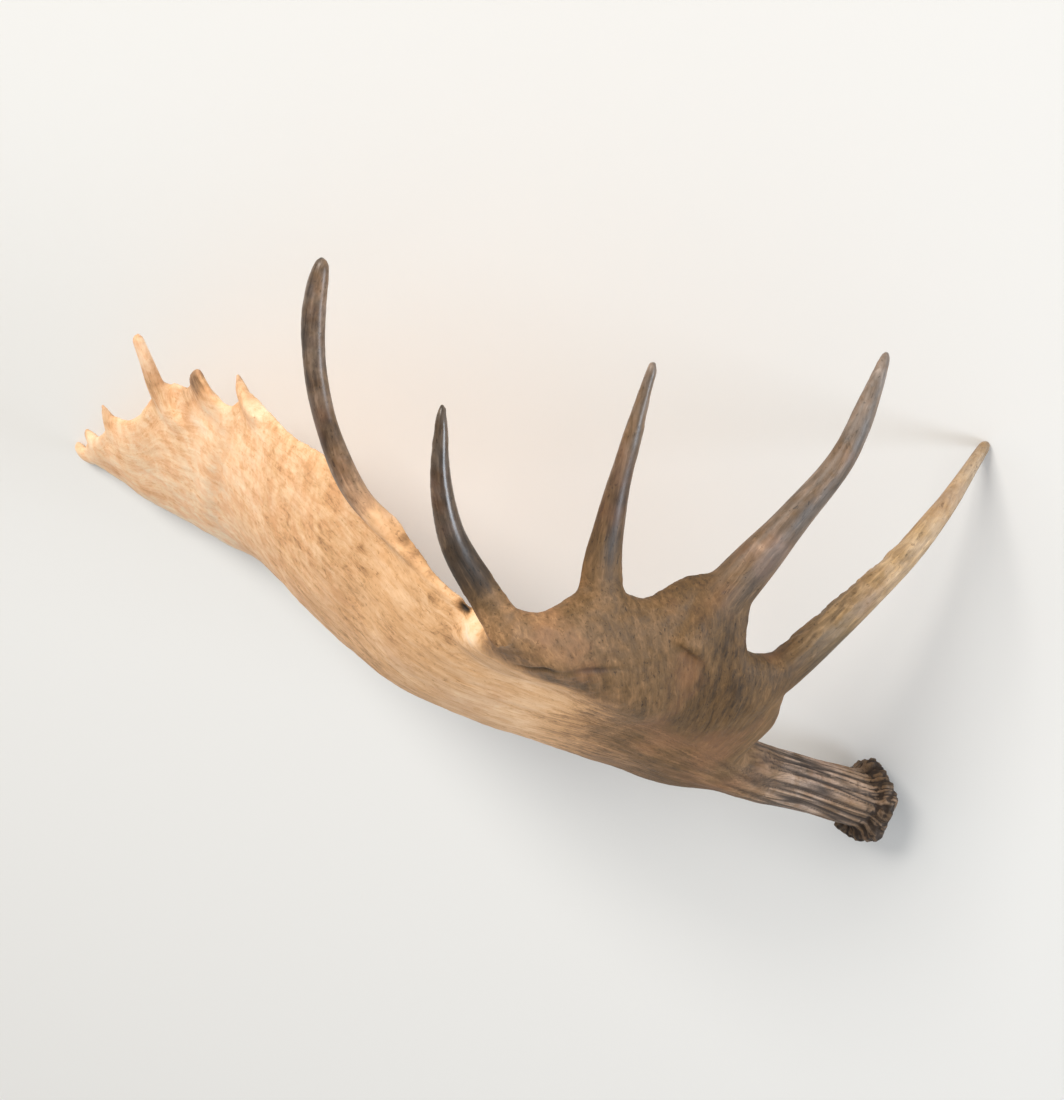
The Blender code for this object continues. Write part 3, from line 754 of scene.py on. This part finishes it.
def softened(spots, quads):
    # more smoothing near the rear edge of the brow palm, so that it grows out of the main one; then
    # steps to and fro, which leave the skin as thick, over all of it and again over the tines
    share = between(*skin["softSpan"], spots[:, 0])
    some = np.flatnonzero(share > 0.0)
    far = squareGaps(spots[some], browBlade["rear"]).min(axis=1)
    share[some] *= 1.0 - ease(*skin["softNear"], np.sqrt(np.maximum(far, 0.0)))
    corner = 1.0 - ease(*skin["cornerNear"], np.linalg.norm(spots - skin["cornerSpot"], axis=1))
    share = np.maximum(share, skin["cornerShare"] * corner)
    pairs = neighbourPairs(quads)
    spots = relaxed(spots, pairs, share, skin["softRounds"], skin["soften"])
    spots = relaxed(spots, pairs, np.ones(len(spots)), skin["evenRounds"], skin["even"])
    tine = tineChart(spots)
    onTine = (1.0 - ease(*skin["tineGap"], tine["gap"])) * ease(*skin["tineFrom"], tine["along"])
    return relaxed(spots, pairs, onTine * (tine["number"] < longTines), skin["tineRounds"], skin["even"])


def laid(places):
    # turned and moved to where the solids lie, then pressed into their box: hard at the floor, and
    # elsewhere more and more over the last few millimetres
    places = places @ lieMatrix.T + skin["lieShift"]
    low, high = np.array(cadLow), np.array(cadHigh)
    middle, half, room = (low + high) / 2, (high - low) / 2, skin["boxRoom"]
    past = np.abs(places - middle) - (half - room)
    pressed = middle + np.sign(places - middle) * (half - room + room * np.tanh(past / room))
    pressed = np.where(past > 0.0, pressed, places)
    pressed[:, 2] = np.where(places[:, 2] < middle[2], np.maximum(places[:, 2], 0.0), pressed[:, 2])
    return pressed


baseSpots, baseQuads = grownTogether()
baseSpots = softened(baseSpots, baseQuads)
baseNormals = pointNormals(baseSpots, baseQuads)
print("skin grown together:", len(baseSpots), "points")

# forks, where the skin is parted into pieces: middle, way through, way along, half length and height
forks = [
    ((0.152, 0.024, 0.012), (1.00, 0.25, 0.05), (0.0, 0.0, 1.0), 0.040, 0.040),
    ((0.337, 0.107, 0.052), (-0.246, 0.713, 0.653), (0.963, 0.245, 0.095), 0.175, 0.048),
    ((0.205, 0.154, 0.088), (-0.66, 0.44, 0.61), (1.0, 0.0, 0.0), 0.034, 0.034),
    ((0.290, 0.192, 0.130), (-0.42, 0.62, 0.66), (1.0, 0.0, 0.0), 0.036, 0.036),
    ((0.402, 0.170, 0.114), (0.20, 0.42, 0.88), (1.0, 0.0, 0.0), 0.030, 0.030),
    ((0.490, 0.162, 0.083), (0.60, 0.20, 0.77), (1.0, 0.0, 0.0), 0.030, 0.030),
    ((0.542, 0.039, 0.212), (0.50, 0.06, 0.86), (0.0, 1.0, 0.0), 0.024, 0.024),
]


def sawn(spots, quads):
    # numbers the faces by part: two faces on an edge share a number unless a fork runs there
    middles = spots[quads].mean(axis=1)
    edges = np.sort(faceSides(quads), axis=1)
    order = np.lexsort((edges[:, 1], edges[:, 0]))
    pairs = np.stack((order[::2], order[1::2]), axis=1) // 4
    seams = spots[edges[order[::2]]].mean(axis=1)
    kept = np.ones(len(pairs), dtype=bool)
    for place, throughIt, along, halfLength, halfHeight in forks:
        normal = unit(np.array(throughIt))
        upright = unit(np.cross(normal, along))
        side = (middles - place) @ normal > 0.0
        inside = np.abs((seams - place) @ np.cross(upright, normal)) < halfLength
        inside &= np.abs((seams - place) @ upright) < halfHeight
        kept &= ~(inside & (side[pairs[:, 0]] != side[pairs[:, 1]]))
    pairs = pairs[kept]
    number = np.arange(len(quads))
    while True:
        lowest = np.minimum(number[pairs[:, 0]], number[pairs[:, 1]])
        merged = number.copy()
        np.minimum.at(merged, number[pairs[:, 0]], lowest)
        np.minimum.at(merged, number[pairs[:, 1]], lowest)
        merged = merged[merged[merged]]
        if np.array_equal(merged, number):
            return number
        number = merged


faceParts = sawn(baseSpots, baseQuads)
print("parted at the forks into", len(np.unique(faceParts)), "pieces")


def halved(spots, normals, quads):
    # each face in four, the new points bowed out to the curve that the corners' normals ask for
    edges, where, counts = np.unique(np.sort(faceSides(quads), axis=1), axis=0, return_inverse=True,
                                     return_counts=True)
    where = where.reshape(-1, 4) + len(spots)

    def bowed(group):
        middle = spots[group].mean(axis=1)
        past = dot(middle[:, None] - spots[group], normals[group])
        return middle - (past[..., None] * normals[group]).mean(axis=1) * 0.5

    newSpots = np.concatenate((spots, bowed(edges), bowed(quads)))
    newNormals = unit(np.concatenate((normals, normals[edges].mean(axis=1), normals[quads].mean(axis=1))))
    centre = np.arange(len(quads)) + len(spots) + len(edges)
    newQuads = np.concatenate([np.stack((quads[:, k], where[:, k], centre, where[:, k - 1]), axis=1)
                               for k in range(4)])
    rim = np.flatnonzero(counts == 1)
    return newSpots, newNormals, newQuads, rim + len(spots), edges[rim]


def finished(places, normals):
    # where the relief takes each place, and the values that the material reads there
    charts = chartsOf(places)
    high, values = reliefOf(places, charts)
    tone, grey, out = toneOf(places, charts)
    tine, onTine = charts["tine"], charts["onTine"]
    polish = perTine(tones["polish"])[tine["number"]]
    values |= {
        "tone": tone, "grey": grey,
        "polish": polish * onTine * ease(*tones["polishFrom"], tine["along"]),
        "golden": onTine * (tine["number"] == 0) * ease(*tones["goldenFrom"], tine["along"]),
        "rim": ease(*tones["rimFrom"], charts["main"]["along"]) * (1.0 - charts["onBrow"]),
    }
    values |= {key: charts[key] for key in ("onBrow", "onTine", "mainFlow", "browFlow", "tineFlow")}
    return places + normals * (high + out)[:, None], values


roughSpots, roughValues = finished(baseSpots, baseNormals)
roughNormals = pointNormals(roughSpots, baseQuads)
print("relief laid on")


def skirted(spots, normals, quads):
    # the rim's points, and the skin with faces that go down from the rim, so that the lid is hidden
    ways = faceSides(quads)
    forth, back = ways @ (len(spots), 1), ways @ (1, len(spots))
    rim = ways[~np.isin(forth, back)]
    own, low = np.unique(rim, return_inverse=True)
    low = low.reshape(-1, 2) + len(spots)
    walls = np.stack((rim[:, 1], rim[:, 0], low[:, 0], low[:, 1]), axis=1)
    under = spots[own] - skin["skirt"] * normals[own]
    return own, np.concatenate((spots, under)), np.concatenate((quads, walls))


def skinPiece(name, own, isHalved):
    # one part of the skin, with finer faces if wanted: its rim keeps to the whole skin's places and
    # normals, so that no seam shows
    used, own = np.unique(own, return_inverse=True)
    quads = own.reshape(-1, 4)
    spots, normals = roughSpots[used], roughNormals[used]
    values = {key: value[used] for key, value in roughValues.items()}
    if isHalved:
        spots, normals, quads, rim, parents = halved(baseSpots[used], baseNormals[used], quads)
        spots, values = finished(spots, normals)
        normals = pointNormals(spots, quads)
        pairs = neighbourPairs(quads)
        normals = unit(relaxed(normals, pairs, values["polish"], skin["gleamRounds"], skin["gleam"]))
        corners = np.unique(parents)
        spots[corners], normals[corners] = roughSpots[used][corners], roughNormals[used][corners]
        spots[rim], normals[rim] = spots[parents].mean(axis=1), unit(normals[parents].mean(axis=1))
    rimOwn, spots, quads = skirted(spots, normals, quads)
    normals = np.concatenate((normals, normals[rimOwn]))
    mesh = bpy.data.meshes.new(name)
    mesh.from_pydata(laid(spots).tolist(), [], quads.tolist())
    work = bmesh.new()
    work.from_mesh(mesh)
    bmesh.ops.holes_fill(work, edges=[edge for edge in work.edges if edge.is_boundary], sides=0)
    work.to_mesh(mesh)
    work.free()
    mesh.normals_split_custom_set_from_vertices((normals @ lieMatrix.T).tolist())
    for key, value in values.items():
        value = np.concatenate((value, value[rimOwn])).astype(np.float32)
        kind, field = ("FLOAT", "value") if value.ndim == 1 else ("FLOAT_VECTOR", "vector")
        mesh.attributes.new(key, kind, "POINT").data.foreach_set(field, value.ravel())
    return added(name, mesh)


# pieces: a place on each, its solid, its slot, and whether its faces are halved
pieces = {
    "beamSkin": ((0.000, 0.000, 0.000), "beam", "beam_bone", True),
    "mainPalmSkin": ((0.402, -0.328, 0.197), "main_palm", "main_palm_bone", False),
    "browPalmSkin": ((0.330, 0.150, 0.085), "brow_palm", "brow_palm_bone", True),
}
for name, node in (("browTine1", "brow_tine_1"), ("browTine2", "brow_tine_2"),
                   ("browTine3", "brow_tine_3"), ("browTine4", "brow_tine_4"), ("palmTine", "palm_tine")):
    pieces[name + "Skin"] = (metres(tines[name][-1][:3]), node, "tine_bone", True)

skinPieces = []
faceMiddles = baseSpots[baseQuads].mean(axis=1)
for name, (mark, node, slotName, isHalved) in pieces.items():
    nearest = np.argmin(dot(faceMiddles - mark, faceMiddles - mark))
    piece = skinPiece(name, baseQuads[faceParts == faceParts[nearest]], isHalved)
    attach(piece, "root")
    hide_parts(node)
    skinPieces.append(piece)
    print("made", name, "of", len(piece.data.polygons), "faces")


class Tree:
    # a material's nodes, added one at a time and joined by their sockets
    def __init__(self, name):
        self.material = bpy.data.materials.new(name)
        self.material.use_nodes = True
        self.nodes = self.material.node_tree.nodes
        self.shader = self.nodes["Principled BSDF"]

    def feed(self, node, inputs):
        # inputs by number or name, each a value or another node's output
        for key, value in inputs.items():
            if isinstance(value, bpy.types.NodeSocket):
                self.material.node_tree.links.new(value, node.inputs[key])
            else:
                node.inputs[key].default_value = value

    def add(self, kind, output, inputs, **settings):
        node = self.nodes.new("ShaderNode" + kind)
        for name, value in settings.items():
            setattr(node, name, value)
        self.feed(node, inputs)
        return node.outputs[output]

    def attribute(self, name, output="Fac"):
        return self.add("Attribute", output, {}, attribute_name=name)

    def math(self, operation, *values, clamp=False):
        return self.add("Math", 0, dict(enumerate(values)), operation=operation, use_clamp=clamp)

    def noise(self, vector, scale, detail, roughness=0.55, distortion=0.0):
        return self.add("TexNoise", "Fac", {"Vector": vector, "Scale": scale, "Detail": detail,
                                            "Roughness": roughness, "Distortion": distortion})

    def range(self, value, low, high, newLow=0.0, newHigh=1.0):
        limits = {"From Min": low, "From Max": high, "To Min": newLow, "To Max": newHigh}
        return self.add("MapRange", "Result", {"Value": value, **limits}, interpolation_type="SMOOTHSTEP")

    def mixed(self, share, a, b):
        return self.add("Mix", "Result", {"Factor": share, "A": a, "B": b})

    def tinted(self, share, a, b, blend="MIX"):
        # inputs 6 and 7 and output 2 are the mix node's colours
        return self.add("Mix", 2, {0: share, 6: a, 7: (*b, 1.0)}, data_type="RGBA", blend_type=blend)

    def ramp(self, value, stops):
        colour = self.add("ValToRGB", "Color", {"Fac": value})
        elements = colour.node.color_ramp.elements
        while len(elements) < len(stops):
            elements.new(0.5)
        for element, (position, shade) in zip(elements, stops):
            element.position = position
            element.color = (*shade, 1.0)
        return colour


# bone: colours by tone, the patterns on it, and how much each shows: pairs are for dull and polished
# bone, and threes for the main palm, the brow palm and the tines
bone = {
    "colours": [
        (0.00, (0.010, 0.006, 0.003)), (0.20, (0.058, 0.031, 0.012)), (0.35, (0.138, 0.073, 0.026)),
        (0.50, (0.255, 0.136, 0.057)), (0.65, (0.486, 0.262, 0.116)), (0.80, (0.750, 0.432, 0.206)),
        (1.00, (0.930, 0.612, 0.360)), (1.25, (1.000, 0.800, 0.580)),
    ],
    "brightest": 1.25,
    "furrow": (0.020, 0.013, 0.010), "warm": (0.460, 0.190, 0.090), "rosy": (1.0, 0.86, 0.80),
    "golden": (0.96, 1.03, 0.84),
    # grains: scale along and across the growth, detail, roughness and distortion
    "grains": {
        "streak": (16.0, 150.0, 6.0, 0.68, 0.5), "thread": (44.0, 320.0, 5.0, 0.66, 0.4),
        "fleck": (220.0, 640.0, 3.0, 0.6, 0.8), "mottle": (60.0, 115.0, 6.0, 0.75, 1.2),
        "line": (11.0, 125.0, 3.0, 0.5, 0.15),
    },
    # clouds: scale, detail, roughness and distortion
    "clouds": {
        "blotch": (46.0, 6.0, 0.65, 0.4), "cloud": (15.0, 4.0, 0.5, 0.3), "warm": (17.0, 3.0),
        "cobble": (66.0, 3.0, 0.6, 0.15), "patch": (13.0, 3.0, 0.5),
    },
    "thread": (0.40, 0.42, 0.46), "blotch": (0.40, 0.15, 0.16), "cloud": (0.42, 0.16, 0.12),
    "line": (-0.07, 0.05, 0.06), "mottle": (0.17, 0.08, 0.03),
    # vein lightens the raised veins against the painted shade between them, and fold is painted shade in the
    # groove under the brow palm's edge
    "streak": 0.34, "cobble": 0.11, "fleck": -0.16, "vein": 0.08, "fold": -0.32,
    "warmShare": 0.20, "rosyShare": 0.55, "greyShare": -0.85,
    # spans of a pattern or an attribute, and what they become where that isn't 0 to 1
    "spans": {
        "onBrow": (0.35, 0.65), "onTine": (0.30, 0.60), "fleck": (0.58, 0.72), "cobble": (0.36, 0.62),
        "line": (0.0, 0.035, 1.0, 0.0), "patch": (0.36, 0.62, 0.15, 1.0), "mottle": (0.42, 0.70),
        "warm": (0.50, 0.72), "grey": (0.30, 0.62, 0.35, 1.0), "furrow": (0.05, 0.85, 0.0, 0.88),
    },
    "roughness": (0.64, 0.25), "roughThread": (0.18, 0.03), "roughFurrow": 0.12, "shine": 0.34,
    "bump": (0.60, 0.04), "bumpHeight": 0.0007, "bumpOf": {"streak": 0.8, "thread": 0.6, "fleck": -0.35},
}


def boneMaterial():
    tree = Tree("antlerBone")
    coordinates = tree.add("TexCoord", "Object", {})
    names = ("onBrow", "onTine", "furrow", "fold", "vein", "tone", "grey", "polish", "rim", "golden")
    brow, tine, furrow, fold, vein, tone, grey, polish, rim, golden = map(tree.attribute, names)
    flows = [tree.attribute(name, "Vector") for name in ("mainFlow", "browFlow", "tineFlow")]

    def spanned(name, value):
        return tree.range(value, *bone["spans"][name])

    nearBrow, nearTine = spanned("onBrow", brow), spanned("onTine", tine)

    def grain(name):
        # a noise drawn out along each part's own growth
        along, across, *rest = bone["grains"][name]
        scale = (along, across, 0.5 * across)
        each = [tree.noise(tree.add("VectorMath", 0, {0: flow, 1: scale}, operation="MULTIPLY"), 1.0, *rest)
                for flow in flows]
        return tree.mixed(nearTine, tree.mixed(nearBrow, each[0], each[1]), each[2])

    def cloud(name):
        return tree.noise(coordinates, *bone["clouds"][name])

    def byPart(name):
        onMain, onBrow, onTine = bone[name]
        return tree.mixed(tine, tree.mixed(brow, onMain, onBrow), onTine)

    def shaken(value, pattern, amount):
        return tree.math("MULTIPLY_ADD", tree.math("SUBTRACT", pattern, 0.5), amount, value)

    streak, thread, fleck = grain("streak"), grain("thread"), spanned("fleck", grain("fleck"))
    blotch, cobble = cloud("blotch"), spanned("cobble", cloud("cobble"))
    tone = shaken(tone, streak, bone["streak"])
    for name, pattern in (("thread", thread), ("blotch", blotch), ("cloud", cloud("cloud"))):
        tone = shaken(tone, pattern, byPart(name))
    line = spanned("line", tree.math("ABSOLUTE", tree.math("SUBTRACT", grain("line"), 0.5)))
    tone = tree.math("MULTIPLY_ADD", line, byPart("line"), tone)
    tone = shaken(tone, cobble, tree.math("MULTIPLY", rim, bone["cobble"]))
    mottle = tree.math("MULTIPLY", spanned("mottle", grain("mottle")), spanned("patch", cloud("patch")))
    tone = tree.math("SUBTRACT", tone, tree.math("MULTIPLY", mottle, byPart("mottle")))
    # flecks darken the bone; the vein and fold shares paint shade, leaving the hollows between the veins and
    # the fold's groove darker
    for name, pattern in (("fleck", fleck), ("vein", vein), ("fold", fold)):
        tone = tree.math("MULTIPLY_ADD", pattern, bone[name], tone)
    tone = tree.math("DIVIDE", tone, bone["brightest"])
    colour = tree.ramp(tone, [(stop / bone["brightest"], shade) for stop, shade in bone["colours"]])

    warm = tree.math("MULTIPLY", spanned("warm", cloud("warm")), bone["warmShare"])
    colour = tree.tinted(warm, colour, bone["warm"])
    rosy = tree.math("MULTIPLY", rim, tree.math("SUBTRACT", 1.0, cobble))
    colour = tree.tinted(tree.math("MULTIPLY", rosy, bone["rosyShare"]), colour, bone["rosy"], "MULTIPLY")
    colour = tree.tinted(golden, colour, bone["golden"], "MULTIPLY")
    patchyGrey = tree.math("MULTIPLY", grey, spanned("grey", blotch))
    fade = tree.math("MULTIPLY_ADD", patchyGrey, bone["greyShare"], 1.0)
    colour = tree.add("HueSaturation", "Color", {"Saturation": fade, "Color": colour})
    colour = tree.tinted(spanned("furrow", furrow), colour, bone["furrow"])

    rough = shaken(tree.mixed(polish, *bone["roughness"]), thread, tree.mixed(polish, *bone["roughThread"]))
    rough = tree.math("MULTIPLY_ADD", furrow, bone["roughFurrow"], rough, clamp=True)
    height = tree.math("MULTIPLY", thread, bone["bumpOf"]["thread"])
    for name, pattern in (("streak", streak), ("fleck", fleck)):
        height = tree.math("MULTIPLY_ADD", pattern, bone["bumpOf"][name], height)
    bump = tree.add("Bump", "Normal", {"Distance": bone["bumpHeight"], "Height": height,
                                       "Strength": tree.mixed(polish, *bone["bump"])})
    tree.feed(tree.shader, {"Base Color": colour, "Specular IOR Level": bone["shine"], "Roughness": rough,
                            "Normal": bump})
    return tree.material


antlerBone = boneMaterial()
for piece in skinPieces:
    piece.data.materials.append(antlerBone)
print("bone coloured")

# studio: a pale floor, a large soft light at the picture's upper left and a weak one opposite, with the
# way to each in the picture's right, up and towards the camera
studio = {
    "floorHalf": 30.0, "floorColour": (0.72, 0.72, 0.71), "floorRoughness": 0.7,
    "sky": (1.0, 0.985, 0.96), "skyStrength": 0.54,
    "key": {"way": (-0.48, 0.42, 0.77), "far": 6.0, "size": 2.8, "power": 311.0,
            "colour": (1.0, 0.96, 0.90), "spread": 180.0},
    "window": {"way": (0.86, -0.36, 0.50), "far": 4.4, "size": 1.6, "power": 36.0,
               "colour": (0.80, 0.89, 1.0), "spread": 90.0},
}
# view: the camera's place and target, its roll in degrees and its lens in millimetres
view = {
    "place": (-0.4590, -0.6550, 1.4228), "target": (-0.0991, 0.0183, 0.1736), "roll": 132.755,
    "lens": 60.1, "sensor": 36.0,
}


def floorPlane():
    half = studio["floorHalf"]
    mesh = bpy.data.meshes.new("floor")
    mesh.from_pydata([(-half, -half, 0), (half, -half, 0), (half, half, 0), (-half, half, 0)], [],
                     [(0, 1, 2, 3)])
    tree = Tree("paleFloor")
    colour, roughness = (*studio["floorColour"], 1.0), studio["floorRoughness"]
    tree.feed(tree.shader, {"Base Color": colour, "Roughness": roughness})
    mesh.materials.append(tree.material)
    added("floor", mesh)


def cameraTurn():
    # columns: the picture's right, its up, and back towards the camera
    back = (Vector(view["place"]) - Vector(view["target"])).normalized()
    up = (Vector((0, 0, 1)) - back * back.z).normalized()
    roll = math.radians(view["roll"])
    rolledUp = up * math.cos(roll) + up.cross(back) * math.sin(roll)
    return Matrix((rolledUp.cross(back), rolledUp, back)).transposed()


def softLight(name):
    lamp = added(name, bpy.data.lights.new(name, "AREA"))
    light = studio[name]
    lamp.data.shape = "DISK"
    lamp.data.size = light["size"]
    lamp.data.energy = light["power"]
    lamp.data.color = light["colour"]
    lamp.data.spread = math.radians(light["spread"])
    toLight = (cameraTurn() @ Vector(light["way"])).normalized()
    lamp.location = Vector(view["target"]) + toLight * light["far"]
    lamp.rotation_euler = toLight.to_track_quat("Z", "Y").to_euler()


floorPlane()
softLight("key")
softLight("window")
world = bpy.data.worlds.new("sky")
world.use_nodes = True
sky = world.node_tree.nodes["Background"].inputs
sky["Color"].default_value = (*studio["sky"], 1.0)
sky["Strength"].default_value = studio["skyStrength"]
bpy.context.scene.world = world
bpy.context.scene.view_settings.view_transform = "Standard"

camera = added("camera", bpy.data.cameras.new("camera"))
camera.data.lens = view["lens"]
camera.data.sensor_width = view["sensor"]
camera.matrix_world = Matrix.Translation(view["place"]) @ cameraTurn().to_4x4()
bpy.context.scene.camera = camera
print("studio and camera set")
